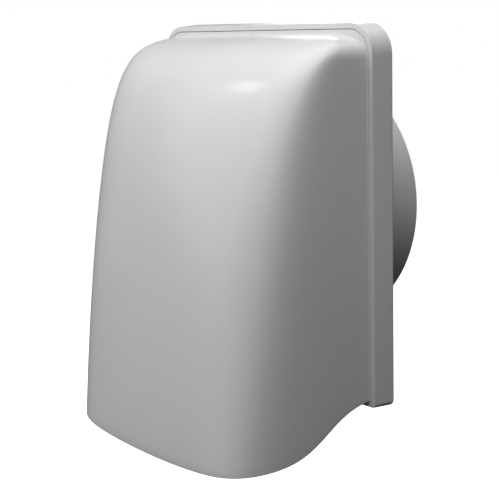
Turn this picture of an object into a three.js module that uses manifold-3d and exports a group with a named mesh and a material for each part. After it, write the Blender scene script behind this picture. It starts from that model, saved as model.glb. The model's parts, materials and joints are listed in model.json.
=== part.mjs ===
// A wall-mounted cowled vent terminal for a 150 mm round duct. A shallow tray-shaped frame is screwed
// to the wall, a round spigot stands out of its back into the duct, and a smooth cowl, open at the
// bottom, pushes into its front. A round flap hangs inside on a rod and closes the duct by gravity.
//
// Sizes are in millimetres. The origin is the centre of the frame's rear face, on the wall. +X is to
// the right as seen from in front, -Y points out of the wall, and +Z points up.

import * as THREE from "three";
import { ParametricGeometry } from "three/addons/geometries/ParametricGeometry.js";
import { mergeVertices } from "three/addons/utils/BufferGeometryUtils.js";
import Module from "manifold-3d";

// ---------- Driving dimensions ----------

const GAP = 0.3; // between two pieces that touch on the real object
const RUNNING_GAP = 0.1; // between the rod and what turns on it
const ROUND = 48; // sides of the large round pieces
const SMALL_ROUND = 12; // and of the small holes and screws
const HALVINGS = 30; // steps of the searches by halving

const FRAME = { width: 185, height: 208, depth: 15, wall: 3, topRadius: 17, bottomRadius: 2.2 };
const REAR_ROUND = 2.2; // radius of the frame's rear edge
const DRAFT = 1; // how much further the frame's sides reach at the wall than at its front
const PLATE = { rear: -4.5, front: -7 }; // y of the two faces of the frame's back plate
const FIXING = { x: 76, z: 86.5, holeRadius: 2.6, bossRadius: 6.3 }; // the four wall fixings
const GASKET = { inset: FRAME.wall + 0.8, width: 4.7 }; // foam in the recess behind the back plate

const DUCT = { radius: 74.5, wall: 2.2, centreZ: 0.6, reach: 38, collar: 3 }; // for a 150 mm duct
const FLANGE = { radius: 84, rear: -7.3, front: -9.6 };
const SEAT = { tilt: THREE.MathUtils.degToRad(4), topY: -13, lip: 7.5, thickness: 2 };
const SEAL = { thickness: 1.7, width: 5, inset: 1 };

const FLAP = { radius: 75.5, thickness: 1.8, opening: THREE.MathUtils.degToRad(24), tail: 8 };
const FLAP_RIM = { height: 1.4, width: 2, inset: 0.5, ribHalf: 1, hubRadius: 9 };
const HINGE = { rise: 82, rodRadius: 1.5, rodHalf: 46 };
const ROD_BORE = HINGE.rodRadius + RUNNING_GAP;
const KNUCKLE = { x: 33, halfWidth: 4, radius: 3.6, armBottom: 62 };
const EAR = { x: 41, halfWidth: 2, bottom: 66.8, eyeRadius: 4.6, holeRadius: 2.8 };
const BUSH = { flangeRadius: 4, flangeWidth: 1.1, sleeveRadius: 2.5, overhang: 0.3 };
const CLIP = { radius: 3.4, thickness: 0.9, clearance: 0.4, mouthHalf: 1 };
const BUMPER = { x: KNUCKLE.x, z: 88.5, radius: 3.5, stem: 1.6 };

const SCREW = { headRadius: 2.9, headHeight: 2, shank: 1.4, tip: 2, crossHalf: 1.5, crossSlot: 0.35 };
const SPIGOT_SCREW = { circle: 79.6, turns: [45, 135, 225, 315], length: 8, bossRadius: 3.8, passage: 1.9 };
const PILOT_RADIUS = 1.75; // of the holes that the screws cut their thread in

const COWL = {
  wall: 2.2,
  topBand: 1.85, // the flat band between the groove and the cowl's body, above it
  sideBand: 1.05, // and beside it
  groove: 0.35, // the fine gap between frame and cowl
  skirtEnd: -7.4, // y where the skirt stops inside the frame
  rimStart: 3.35, // height of the rim's two ends above the frame's bottom
  drop: 224.7, // from the cowl's top to its lip, at the lip's ends
  lipDepth: 88.8, // from the frame's front to the lip
  shoulder: new THREE.Vector2(55.2, 26.1), // depth and drop where the crown turns into the face
  shoulderSlope: 0.574, // angle from the vertical there
  crownPull: [18.2, 24.4], // how far the crown's curve runs straight at its two ends
  facePull: [25, 132.9], // and the face's curve
  faceLean: 7.8, // how much of that last pull leans out from the wall
  flare: 0.5, // growth of the half width from top to lip
  rootCorner: new THREE.Vector2(42.9, 15.8), // the top corners where the body leaves the band
  rootSquareness: 3.2, // the superellipse exponent of those corners
  sideSquareness: [1.5, 3, 7.3], // superellipse exponents across, at the top, middle and lip
  faceSquareness: [8.8, 7, 4.7], // and out from the wall
  sweepMiddle: 0.352, // where the rim drops fastest, as a part of its depth
  sweepWidth: 0.119,
  sag: 6.7, // how much lower the rim is at its middle
};

const GUARD = { top: -94, thickness: 2.6, border: 6, slot: 7, bar: 2.6, inset: 0.7, spine: -60.5 };
const GUARD_SCREW = { x: 81.7, y: -52, bossRadius: 4.8, bossTop: -80, length: 11 };

// ---------- Solids ----------

const wasm = await Module();
wasm.setup();

// A closed geometry as a solid, with shared corners merged and collapsed triangles left out.
function solid(geometry) {
  const bare = geometry.index ? geometry.toNonIndexed() : geometry.clone();
  bare.deleteAttribute("normal");
  bare.deleteAttribute("uv");
  const merged = mergeVertices(bare, 1e-4);
  const kept = [];
  for (let i = 0; i < merged.index.count; i += 3) {
    const [a, b, c] = [0, 1, 2].map((k) => merged.index.getX(i + k));
    if (a !== b && b !== c && c !== a) kept.push(a, b, c);
  }
  const vertProperties = new Float32Array(merged.attributes.position.array);
  const triVerts = new Uint32Array(kept);
  return new wasm.Manifold(new wasm.Mesh({ numProp: 3, vertProperties, triVerts }));
}

function geometryOf(body) {
  const mesh = body.getMesh();
  const geometry = new THREE.BufferGeometry();
  geometry.setAttribute("position", new THREE.BufferAttribute(mesh.vertProperties, 3));
  geometry.setIndex(new THREE.BufferAttribute(mesh.triVerts, 1));
  const faceted = geometry.toNonIndexed();
  faceted.computeVertexNormals();
  return faceted;
}

const join = (...bodies) => bodies.reduce((whole, next) => whole.add(next));
const cut = (body, ...tools) => tools.reduce((whole, next) => whole.subtract(next), body);

function box(low, high) {
  const size = high.map((value, i) => value - low[i]);
  const middle = high.map((value, i) => (value + low[i]) / 2);
  return solid(new THREE.BoxGeometry(...size).translate(...middle));
}

// A cylinder between two points that lie on a line along X, Y or Z.
function rod(start, end, radius, sides = 20) {
  const [from, to] = [new THREE.Vector3(...start), new THREE.Vector3(...end)];
  const along = to.clone().sub(from);
  const geometry = new THREE.CylinderGeometry(radius, radius, along.length(), sides);
  const turn = new THREE.Quaternion().setFromUnitVectors(new THREE.Vector3(0, 1, 0), along.normalize());
  geometry.applyQuaternion(turn);
  const middle = from.add(to).multiplyScalar(0.5);
  return solid(geometry.translate(middle.x, middle.y, middle.z));
}

// A shape drawn in x and z, as a slab from y = rear out to y = front.
function slab(shape, rear, front) {
  const geometry = new THREE.ExtrudeGeometry(shape, { depth: rear - front, bevelEnabled: false });
  return solid(geometry.rotateX(Math.PI / 2).translate(0, rear, 0));
}

// A closed profile of [radius, y] points, turned about the Y axis.
function turned(profile, sides) {
  const points = [...profile, profile[0]].map(([radius, y]) => new THREE.Vector2(radius, y));
  if (THREE.ShapeUtils.area(points) < 0) points.reverse(); // so that its faces point out
  return solid(new THREE.LatheGeometry(points, sides));
}

// ---------- Outlines ----------

// The frame's outline moved in by inset: round top corners and nearly square bottom ones.
function frameOutline(inset) {
  const right = FRAME.width / 2 - inset;
  const top = FRAME.height / 2 - inset;
  const corners = [
    { x: 1, z: -1, radius: Math.max(FRAME.bottomRadius - inset, 0.6), steps: 2 },
    { x: 1, z: 1, radius: Math.max(FRAME.topRadius - inset, 1), steps: 8 },
    { x: -1, z: 1, radius: Math.max(FRAME.topRadius - inset, 1), steps: 8 },
    { x: -1, z: -1, radius: Math.max(FRAME.bottomRadius - inset, 0.6), steps: 2 },
  ];
  const points = corners.flatMap(({ x, z, radius, steps }, quarter) =>
    Array.from({ length: steps + 1 }, (_, i) => {
      const angle = (Math.PI / 2) * (quarter - 1 + i / steps);
      const [across, up] = [Math.cos(angle) * radius, Math.sin(angle) * radius];
      return new THREE.Vector2(x * (right - radius) + across, z * (top - radius) + up);
    }),
  );
  return new THREE.Shape(points);
}

// A slab between two insets of the frame's outline.
function frameRing(outerInset, innerInset, rear, front) {
  const inside = slab(frameOutline(innerInset), rear + 1, front - 1);
  return cut(slab(frameOutline(outerInset), rear, front), inside);
}

// The frame's outline carried from the wall outwards through stations of [inset, y], as one solid.
function lofted(stations) {
  const rings = stations.map(([inset, y]) => {
    return frameOutline(inset).getPoints().map((point) => new THREE.Vector3(point.x, y, point.y));
  });
  const closing = (ring) => ring.map((point) => new THREE.Vector3(0, point.y, 0));
  const rows = [closing(rings[0]), ...rings, closing(rings.at(-1))];
  const around = rings[0].length;
  const surface = (u, v, target) => {
    const row = rows[Math.round(v * (rows.length - 1))];
    target.copy(row[Math.round(u * around) % around]);
  };
  return solid(new ParametricGeometry(surface, around, rows.length - 1));
}

// ---------- The cowl's body ----------

const COWL_TOP = FRAME.height / 2 - FRAME.wall - COWL.groove - COWL.topBand;
const COWL_HALF_WIDTH = FRAME.width / 2 - FRAME.wall - COWL.groove - COWL.sideBand;
const COWL_LIP = COWL_TOP - COWL.drop;
const RIM_ENDS = COWL.rimStart - FRAME.height / 2;
const ROOT_Y = 1 - FRAME.depth; // the body starts inside the web that it joins

// The side profile: a short crown, then the long face. Each point is a depth and a drop.
const slope = new THREE.Vector2(Math.sin(COWL.shoulderSlope), Math.cos(COWL.shoulderSlope));
const crown = new THREE.CubicBezierCurve(
  new THREE.Vector2(0, 0),
  new THREE.Vector2(COWL.crownPull[0], 0),
  COWL.shoulder.clone().addScaledVector(slope, -COWL.crownPull[1]),
  COWL.shoulder,
);
const face = new THREE.CubicBezierCurve(
  COWL.shoulder,
  COWL.shoulder.clone().addScaledVector(slope, COWL.facePull[0]),
  new THREE.Vector2(COWL.lipDepth - COWL.faceLean, COWL.drop - COWL.facePull[1]),
  new THREE.Vector2(COWL.lipDepth, COWL.drop),
);
const CROWN_SHARE = 0.4; // of the rows down the cowl
const ROOT_CROWDING = 0.33; // draws the columns together near the rim's ends, where it curves most

function profileAt(down) {
  if (down > 1) return new THREE.Vector2(COWL.lipDepth, COWL.drop * down);
  if (down < CROWN_SHARE) return crown.getPoint(down / CROWN_SHARE);
  return face.getPoint((down - CROWN_SHARE) / (1 - CROWN_SHARE));
}

// A value given at the top, the middle and the lip, with a smooth curve through the three.
function blended([top, middle, lip], down) {
  const v = Math.min(down, 1);
  return top * (1 - v) * (1 - 2 * v) + 4 * middle * v * (1 - v) + lip * v * (2 * v - 1);
}

// How far a superellipse of half sizes 1 reaches at an angle from its side.
function reachAt(angle, acrossPower, outPower) {
  const [across, out] = [Math.abs(Math.cos(angle)), Math.abs(Math.sin(angle))];
  let [low, high] = [0.8, Math.SQRT2];
  for (let step = 0; step < HALVINGS; step++) {
    const middle = (low + high) / 2;
    const inside = (middle * across) ** acrossPower + (middle * out) ** outPower < 1;
    if (inside) low = middle;
    else high = middle;
  }
  return low;
}

// A point of the body: round runs from 0 at the left root to 1 at the right root, and down from the
// top to the lip. The inner face of the wall is the same surface with an inset.
function cowlPoint(round, down, inset) {
  const profile = profileAt(down);
  const share = Math.min(profile.y / COWL.drop, 1);
  const depth = Math.max(profile.x - inset, 0);
  const corner = COWL.rootCorner.clone().subScalar(inset);
  const above = Math.max(corner.y - profile.y, 0) / corner.y;
  const kept = Math.max(1 - above ** COWL.rootSquareness, 0) ** (1 / COWL.rootSquareness);
  const taper = corner.x * (1 - kept);
  const halfWidth = COWL_HALF_WIDTH - inset + COWL.flare * share - taper;
  const even = Math.PI * (1 - round);
  const angle = even - ROOT_CROWDING * share * Math.sin(2 * even);
  const reach = reachAt(angle, blended(COWL.sideSquareness, share), blended(COWL.faceSquareness, share));
  const out = depth * reach * Math.sin(angle);
  const x = halfWidth * reach * Math.cos(angle);
  const y = out > 0.01 ? -FRAME.depth - out : ROOT_Y;
  return new THREE.Vector3(x, y, COWL_TOP - inset - profile.y);
}

const sweepCurve = (reach) => 1 / (1 + Math.exp((COWL.sweepMiddle - reach) / COWL.sweepWidth));

// The rim sweeps down from the frame's bottom to the lip, and sags a little in the middle.
function rimHeight(x, y) {
  const reach = (-y - FRAME.depth) / COWL.lipDepth;
  const sweep = (sweepCurve(reach) - sweepCurve(0)) / (sweepCurve(1) - sweepCurve(0));
  const sag = COWL.sag * (1 - (x / COWL_HALF_WIDTH) ** 2);
  return RIM_ENDS + (COWL_LIP - RIM_ENDS - sag) * sweep;
}

function rimPoint(round, inset, heightAt) {
  let [low, high] = [CROWN_SHARE, 1.3];
  for (let step = 0; step < HALVINGS; step++) {
    const middle = (low + high) / 2;
    const point = cowlPoint(round, middle, inset);
    if (point.z > heightAt(point.x, point.y)) low = middle;
    else high = middle;
  }
  return low;
}

// The whole space inside one skin of the cowl, closed by the frame's front plane and by its rim.
function cowlSpace(inset, heightAt) {
  const [columns, rows] = [36, 16];
  const ends = Array.from({ length: columns + 1 }, (_, i) => rimPoint(i / columns, inset, heightAt));
  const surface = (u, v, target) => {
    const around = Math.round((1 - u) * 2 * columns) % (2 * columns);
    const row = Math.round(v * (rows + 1));
    const column = around <= columns ? around : 2 * columns - around;
    const point = cowlPoint(column / columns, (ends[column] * Math.min(row, rows)) / rows, inset);
    if (around > columns || row > rows) {
      const root = cowlPoint(0, (ends[0] * Math.min(row, rows)) / rows, inset);
      const first = cowlPoint(column / columns, 0, inset);
      const spread = first.x / cowlPoint(0, 0, inset).x;
      point.set(root.x * spread, ROOT_Y, root.z);
    }
    target.copy(point);
  };
  return solid(new ParametricGeometry(surface, 2 * columns, rows + 1));
}

// ---------- Pieces ----------

const SEAT_MIDDLE = new THREE.Vector3(0, SEAT.topY - DUCT.radius * Math.tan(SEAT.tilt), DUCT.centreZ);

// A body made about the Y axis, leaned with the seat: y = 0 becomes the seat's plane.
function onSeat(body) {
  const lean = THREE.MathUtils.radToDeg(SEAT.tilt);
  return body.rotate([-lean, 0, 0]).translate(SEAT_MIDDLE.toArray());
}

function spigotScrewPlaces() {
  return SPIGOT_SCREW.turns.map((degrees) => {
    const turn = THREE.MathUtils.degToRad(degrees);
    const [x, z] = [Math.cos(turn), Math.sin(turn)].map((value) => value * SPIGOT_SCREW.circle);
    return [x, z + DUCT.centreZ];
  });
}

function fixingPlaces() {
  return [-1, 1].flatMap((x) => [-1, 1].map((z) => [x * FIXING.x, z * FIXING.z]));
}

function makeFrame() {
  const rounding = [0, 1, 2].map((step) => {
    const turn = (Math.PI / 4) * step;
    return [REAR_ROUND * (1 - Math.sin(turn)) - DRAFT, REAR_ROUND * (Math.cos(turn) - 1)];
  });
  const block = lofted([...rounding, [0, -FRAME.depth]]);
  const pocket = slab(frameOutline(FRAME.wall), PLATE.front, -FRAME.depth - 1);
  const recess = slab(frameOutline(GASKET.inset - GAP), 1, PLATE.rear);
  const inPlate = PLATE.rear - 1;
  const past = PLATE.front - 1;
  const ductHole = rod([0, 1, DUCT.centreZ], [0, past, DUCT.centreZ], DUCT.radius + GAP, ROUND);
  let frame = cut(block, pocket, recess);
  const collar = rod([0, -1, DUCT.centreZ], [0, inPlate, DUCT.centreZ], DUCT.radius + DUCT.collar, ROUND);
  frame = join(frame, collar);
  for (const [x, z] of fixingPlaces()) {
    frame = join(frame, rod([x, 0, z], [x, inPlate, z], FIXING.bossRadius));
  }
  for (const [x, z] of spigotScrewPlaces()) {
    frame = join(frame, rod([x, -1, z], [x, inPlate, z], SPIGOT_SCREW.bossRadius));
  }
  frame = cut(frame, ductHole);
  for (const [x, z] of fixingPlaces()) {
    frame = cut(frame, rod([x, 1, z], [x, past, z], FIXING.holeRadius));
  }
  for (const [x, z] of spigotScrewPlaces()) {
    frame = cut(frame, rod([x, 0, z], [x, past, z], PILOT_RADIUS, SMALL_ROUND));
  }
  for (const side of [-1, 1]) {
    const x = side * BUMPER.x;
    frame = cut(frame, rod([x, 0, BUMPER.z], [x, past, BUMPER.z], BUMPER.stem + GAP, SMALL_ROUND));
  }
  return frame;
}

function makeGasket() {
  return frameRing(GASKET.inset, GASKET.inset + GASKET.width, 0, PLATE.rear + GAP);
}

function makeSpigot() {
  const { radius, wall, reach } = DUCT;
  const deep = -34; // in front of every part of the seat
  const tube = turned([[0, reach], [radius, reach], [radius, deep], [0, deep]], ROUND);
  const flange = rod([0, FLANGE.rear, 0], [0, FLANGE.front, 0], FLANGE.radius, ROUND);
  const beyondSeat = (y) => onSeat(box([-100, y - 60, -110], [100, y, 110]));
  const shift = [0, 0, DUCT.centreZ];
  const outside = cut(join(tube, flange).translate(shift), beyondSeat(0));
  const bore = rod([0, reach + 1, 0], [0, deep - 1, 0], radius - wall, ROUND).translate(shift);
  const mouth = rod([0, reach + 1, 0], [0, deep - 1, 0], radius - SEAT.lip, ROUND).translate(shift);
  let spigot = cut(outside, cut(bore, beyondSeat(SEAT.thickness)), mouth);
  const axis = hingePlace();
  for (const side of [-1, 1]) {
    const [near, far] = [side * EAR.x - EAR.halfWidth, side * EAR.x + EAR.halfWidth];
    const ear = box([near, axis.y - 1, EAR.bottom], [far, FLANGE.front + 0.5, axis.z + 2]);
    const eye = rod([near, axis.y, axis.z], [far, axis.y, axis.z], EAR.eyeRadius);
    spigot = join(spigot, ear, eye);
    spigot = cut(spigot, rod([near - 1, axis.y, axis.z], [far + 1, axis.y, axis.z], EAR.holeRadius));
  }
  const [behind, before] = [FLANGE.rear + 1, FLANGE.front - 1];
  for (const [x, z] of spigotScrewPlaces()) {
    spigot = cut(spigot, rod([x, behind, z], [x, before, z], SPIGOT_SCREW.passage, SMALL_ROUND));
  }
  return spigot;
}

// The rod's middle: above the seat's middle along the leaned plane, and level with the flap.
function hingePlace() {
  const out = GAP + SEAL.thickness + GAP + FLAP.thickness / 2;
  const up = HINGE.rise;
  const [sine, cosine] = [Math.sin(SEAT.tilt), Math.cos(SEAT.tilt)];
  const shift = new THREE.Vector3(0, up * sine - out * cosine, up * cosine + out * sine);
  return shift.add(SEAT_MIDDLE);
}

function makeSeal() {
  const outer = DUCT.radius - SEAL.inset;
  const inner = outer - SEAL.width;
  const [back, front] = [-GAP, -GAP - SEAL.thickness];
  return onSeat(turned([[inner, back], [outer, back], [outer, front], [inner, front]], ROUND));
}

function makeFlap() {
  const back = -2 * GAP - SEAL.thickness;
  const front = back - FLAP.thickness;
  const middle = (back + front) / 2;
  const disc = rod([0, back, 0], [0, front, 0], FLAP.radius, ROUND);
  const rimOuter = FLAP.radius - FLAP_RIM.inset;
  const rimInner = rimOuter - FLAP_RIM.width;
  const rimFront = front - FLAP_RIM.height;
  const rimSection = [[rimInner, middle], [rimOuter, middle], [rimOuter, rimFront], [rimInner, rimFront]];
  const rim = turned(rimSection, ROUND);
  const [ribLength, ribHalf] = [rimInner + 1, FLAP_RIM.ribHalf];
  const ribs = [
    box([-ribLength, rimFront, -ribHalf], [ribLength, middle, ribHalf]),
    box([-ribHalf, rimFront, -ribLength], [ribHalf, middle, ribLength]),
    rod([0, middle, 0], [0, rimFront, 0], FLAP_RIM.hubRadius),
  ];
  let flap = join(disc, rim, ...ribs);
  for (const side of [-1, 1]) {
    const [near, far] = [side * KNUCKLE.x - KNUCKLE.halfWidth, side * KNUCKLE.x + KNUCKLE.halfWidth];
    const arm = box([near, front, KNUCKLE.armBottom], [far, back, HINGE.rise + FLAP.tail]);
    const knuckle = rod([near, middle, HINGE.rise], [far, middle, HINGE.rise], KNUCKLE.radius);
    flap = join(flap, arm, knuckle);
    const [left, right] = [near - 1, far + 1];
    flap = cut(flap, rod([left, middle, HINGE.rise], [right, middle, HINGE.rise], ROD_BORE));
  }
  return onSeat(flap);
}

function makeRod() {
  const axis = hingePlace();
  return rod([-HINGE.rodHalf, axis.y, axis.z], [HINGE.rodHalf, axis.y, axis.z], HINGE.rodRadius);
}

// A bush with its flange between knuckle and ear, and its sleeve through the ear.
function makeBush(side) {
  const axis = hingePlace();
  const shoulder = side * (EAR.x - EAR.halfWidth - GAP);
  const inside = shoulder - side * BUSH.flangeWidth;
  const outside = side * (EAR.x + EAR.halfWidth + BUSH.overhang);
  const flange = rod([inside, axis.y, axis.z], [shoulder, axis.y, axis.z], BUSH.flangeRadius);
  const sleeve = rod([inside, axis.y, axis.z], [outside, axis.y, axis.z], BUSH.sleeveRadius);
  const bore = rod([inside - side, axis.y, axis.z], [outside + side, axis.y, axis.z], ROD_BORE);
  return cut(join(flange, sleeve), bore);
}

// A spring clip on the rod's end, open at its lower side.
function makeClip(side) {
  const axis = hingePlace();
  const from = side * (EAR.x + EAR.halfWidth + BUSH.overhang + CLIP.clearance);
  const to = from + side * CLIP.thickness;
  const ring = rod([from, axis.y, axis.z], [to, axis.y, axis.z], CLIP.radius);
  const bore = rod([from - side, axis.y, axis.z], [to + side, axis.y, axis.z], ROD_BORE);
  const [low, high] = [Math.min(from, to) - 1, Math.max(from, to) + 1];
  const [rear, front] = [axis.y + CLIP.mouthHalf, axis.y - CLIP.mouthHalf];
  const mouth = box([low, front, axis.z - CLIP.radius - 1], [high, rear, axis.z]);
  return cut(ring, bore, mouth);
}

// A rubber button in the back plate, just touched by the flap's tail when the flap is fully open.
function makeBumper(side) {
  const x = side * BUMPER.x;
  const lean = SEAT.tilt + FLAP.opening;
  const tailBack = hingePlace().y + FLAP.tail * Math.sin(lean) + (FLAP.thickness / 2) * Math.cos(lean);
  const head = rod([x, PLATE.front - GAP, BUMPER.z], [x, tailBack + GAP, BUMPER.z], BUMPER.radius);
  const stem = rod([x, PLATE.rear + GAP, BUMPER.z], [x, PLATE.front - 1, BUMPER.z], BUMPER.stem, SMALL_ROUND);
  return join(head, stem);
}

// A pan-head screw with a cross recess. Its head's underside is at y = 0, and it points towards +Y.
function makeScrew(length) {
  const { headRadius, headHeight, shank, tip, crossHalf, crossSlot } = SCREW;
  const thread = [[0, length], [shank * 0.3, length], [shank, length - tip], [shank, 0]];
  const head = [[headRadius, 0], [headRadius, -headHeight * 0.45], [headRadius * 0.75, -headHeight * 0.85]];
  const body = turned([...thread, ...head, [0, -headHeight]], SMALL_ROUND);
  const [outer, floor] = [-headHeight - 1, -headHeight * 0.4];
  const slotA = box([-crossHalf, outer, -crossSlot], [crossHalf, floor, crossSlot]);
  const slotB = box([-crossSlot, outer, -crossHalf], [crossSlot, floor, crossHalf]);
  return cut(body, join(slotA, slotB));
}

function makeCowl() {
  const shell = cut(
    cowlSpace(0, rimHeight),
    cowlSpace(COWL.wall, () => COWL_LIP - COWL.sag - 10),
  );
  const outer = FRAME.wall + COWL.groove;
  const skirt = frameRing(outer, outer + COWL.wall, COWL.skirtEnd, -FRAME.depth);
  const web = slab(frameOutline(outer), COWL.wall - FRAME.depth, -FRAME.depth);
  const opening = cowlRootOpening();
  let cowl = join(shell, skirt, cut(web, opening));
  for (const side of [-1, 1]) {
    const { x, y, bossRadius, bossTop } = GUARD_SCREW;
    const boss = rod([side * x, y, GUARD.top + GAP], [side * x, y, bossTop], bossRadius);
    const pilot = rod([side * x, y, GUARD.top - 1], [side * x, y, bossTop - 2], PILOT_RADIUS, SMALL_ROUND);
    cowl = cut(join(cowl, boss), pilot);
  }
  return cowl;
}

// What the body's inner face leaves open in the flat web behind it.
function cowlRootOpening() {
  const rows = 24;
  const [lowest, bottom] = [RIM_ENDS + 4, RIM_ENDS + 2.2]; // a low strip of web stays below
  const root = Array.from({ length: rows + 1 }, (_, i) => cowlPoint(1, (i / rows) * CROWN_SHARE * 2, COWL.wall));
  const kept = root.filter((point) => point.z > lowest);
  const points = kept.map((point) => new THREE.Vector2(point.x, point.z));
  points.push(new THREE.Vector2(points.at(-1).x, bottom));
  const mirrored = points.map((point) => new THREE.Vector2(-point.x, point.y)).reverse();
  return slab(new THREE.Shape([...mirrored, ...points]), -1, -FRAME.depth - 1);
}

// The cowl's inner outline at one height, moved in by a margin, as a level slab.
function levelSlab(margin, low, high) {
  const inset = COWL.wall + margin;
  const columns = 30;
  const heightAt = () => GUARD.top;
  const outline = Array.from({ length: columns + 1 }, (_, i) => {
    const round = i / columns;
    return cowlPoint(round, rimPoint(round, inset, heightAt), inset);
  });
  const wallSide = -FRAME.depth - margin - GAP;
  const kept = outline.filter((point) => point.y < wallSide);
  const points = kept.map((point) => new THREE.Vector2(point.x, point.y));
  points.unshift(new THREE.Vector2(points[0].x, wallSide));
  points.push(new THREE.Vector2(points.at(-1).x, wallSide));
  const geometry = new THREE.ExtrudeGeometry(new THREE.Shape(points), { depth: high - low, bevelEnabled: false });
  return solid(geometry.translate(0, 0, low));
}

function makeGuard() {
  const low = GUARD.top - GUARD.thickness;
  const plate = levelSlab(GUARD.inset, low, GUARD.top);
  const field = levelSlab(GUARD.inset + GUARD.border, low - 1, GUARD.top + 1);
  const pitch = GUARD.slot + GUARD.bar;
  const slots = [];
  const beyond = FRAME.depth + COWL.lipDepth + 10;
  const sideSlots = Math.floor(COWL_HALF_WIDTH / pitch);
  for (let i = -sideSlots; i <= sideSlots; i++) {
    const [left, right] = [i * pitch - GUARD.slot / 2, i * pitch + GUARD.slot / 2];
    slots.push(box([left, GUARD.spine + GUARD.bar / 2, low - 1], [right, 0, GUARD.top + 1]));
    slots.push(box([left, -beyond, low - 1], [right, GUARD.spine - GUARD.bar / 2, GUARD.top + 1]));
  }
  let guard = cut(plate, field.intersect(join(...slots)));
  for (const side of [-1, 1]) {
    const [x, y] = [side * GUARD_SCREW.x, GUARD_SCREW.y];
    guard = cut(guard, rod([x, y, low - 1], [x, y, GUARD.top + 1], PILOT_RADIUS, SMALL_ROUND));
  }
  return guard;
}

// ---------- Materials and assembly ----------

const plastic = (color, roughness) => new THREE.MeshStandardMaterial({ color, roughness, metalness: 0 });
const materials = {
  shell: () => plastic(0xe9e9e6, 0.35),
  inner: () => plastic(0xdcdcd8, 0.45),
  bush: () => plastic(0xf2f0e6, 0.5),
  rubber: () => plastic(0x2b2c2e, 0.8),
  foam: () => plastic(0x4a4b4d, 0.95),
  steel: () => new THREE.MeshStandardMaterial({ color: 0xc4c6c8, roughness: 0.3, metalness: 1 }),
};

const vent = new THREE.Group();

function place(name, body, material) {
  const mesh = new THREE.Mesh(geometryOf(body), materials[material]());
  mesh.name = name;
  vent.add(mesh);
  return mesh;
}

place("wall_frame", makeFrame(), "shell");
place("wall_gasket", makeGasket(), "foam");
place("duct_spigot", makeSpigot(), "shell");
place("flap_seal", makeSeal(), "rubber");
place("damper_flap", makeFlap(), "inner");
place("hinge_rod", makeRod(), "steel");
place("hood", makeCowl(), "shell");
place("bird_guard", makeGuard(), "inner");

for (const [name, side] of [["left", -1], ["right", 1]]) {
  place(`bush_${name}`, makeBush(side), "bush");
  place(`rod_clip_${name}`, makeClip(side), "steel");
  place(`bumper_${name}`, makeBumper(side), "rubber");
  const screw = place(`guard_screw_${name}`, makeScrew(GUARD_SCREW.length), "steel");
  screw.position.set(side * GUARD_SCREW.x, GUARD_SCREW.y, GUARD.top - GUARD.thickness - GAP);
  screw.rotation.x = Math.PI / 2;
}

spigotScrewPlaces().forEach(([x, z], i) => {
  const screw = place(`spigot_screw_${i + 1}`, makeScrew(SPIGOT_SCREW.length), "steel");
  screw.position.set(x, FLANGE.front - GAP, z);
});

export default vent;
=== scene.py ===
"""Fine surfaces, materials, studio and camera for a cowled wall vent terminal.

Shapes are drawn in millimetres in the part's own frame, +Z up and -Y out of the wall, and turned
into metres when a piece is made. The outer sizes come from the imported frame's boxes.
"""

import json
import math

import bmesh
import bpy
import numpy as np
from mathutils import Matrix, Vector


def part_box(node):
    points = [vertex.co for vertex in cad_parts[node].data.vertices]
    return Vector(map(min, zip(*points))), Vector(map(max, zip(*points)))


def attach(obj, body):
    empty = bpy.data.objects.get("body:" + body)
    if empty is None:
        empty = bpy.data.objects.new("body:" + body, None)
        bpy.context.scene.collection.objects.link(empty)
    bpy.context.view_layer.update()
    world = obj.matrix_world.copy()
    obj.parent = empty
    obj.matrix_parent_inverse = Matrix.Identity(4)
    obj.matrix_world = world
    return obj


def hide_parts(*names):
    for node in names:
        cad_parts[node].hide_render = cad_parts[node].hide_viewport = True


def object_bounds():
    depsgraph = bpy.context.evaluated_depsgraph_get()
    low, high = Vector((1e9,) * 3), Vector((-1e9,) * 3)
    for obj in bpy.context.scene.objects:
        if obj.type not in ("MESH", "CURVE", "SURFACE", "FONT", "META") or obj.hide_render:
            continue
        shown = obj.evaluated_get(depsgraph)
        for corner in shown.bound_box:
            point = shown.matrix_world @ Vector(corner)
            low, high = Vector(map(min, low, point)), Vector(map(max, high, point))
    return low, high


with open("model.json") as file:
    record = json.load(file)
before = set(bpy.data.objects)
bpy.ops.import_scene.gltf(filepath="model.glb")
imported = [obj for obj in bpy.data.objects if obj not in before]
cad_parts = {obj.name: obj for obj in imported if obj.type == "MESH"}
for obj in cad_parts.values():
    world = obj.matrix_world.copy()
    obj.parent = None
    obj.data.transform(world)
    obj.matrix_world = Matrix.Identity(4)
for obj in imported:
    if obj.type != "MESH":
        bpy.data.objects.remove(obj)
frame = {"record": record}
CAD_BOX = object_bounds()

MM = 0.001
RECORD = frame["record"]


def node_box(node):
    """A CAD node's lowest and highest corner, in millimetres."""
    low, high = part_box(node)
    return Vector(low) / MM, Vector(high) / MM


# ---------- Sizes, in millimetres ----------

FRAME_LOW, FRAME_HIGH = node_box("wall_frame")
DRAFT = 1  # how much further the frame's sides reach at the wall than at its front
FRAME_HALF = FRAME_HIGH.x - DRAFT
FRAME_TOP = FRAME_HIGH.z - DRAFT
FRAME_FRONT = FRAME_LOW.y
FRAME_WALL = 3
TOP_CORNER, BOTTOM_CORNER, LEAST_CORNER = 17, 2.2, 0.4
TOP_STEPS, BOTTOM_STEPS = 20, 4
PLATE_REAR, PLATE_FRONT = -4.5, -7
RECESS_INSET, LEDGE = 3.5, 2
REAR_ROUND, REAR_STEPS = 2.2, 6
LAND_EDGE = 0.2
BOSS_REAR = -1
SINK = 0.5  # how far a part is sunk into the one that it's joined to
DEEP_SINK = 0.8  # the same for a lip or a rib that ends in a round wall
FIXING = {"x": 76, "z": 86.5, "hole": 2.6, "boss": 6.3}

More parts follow.
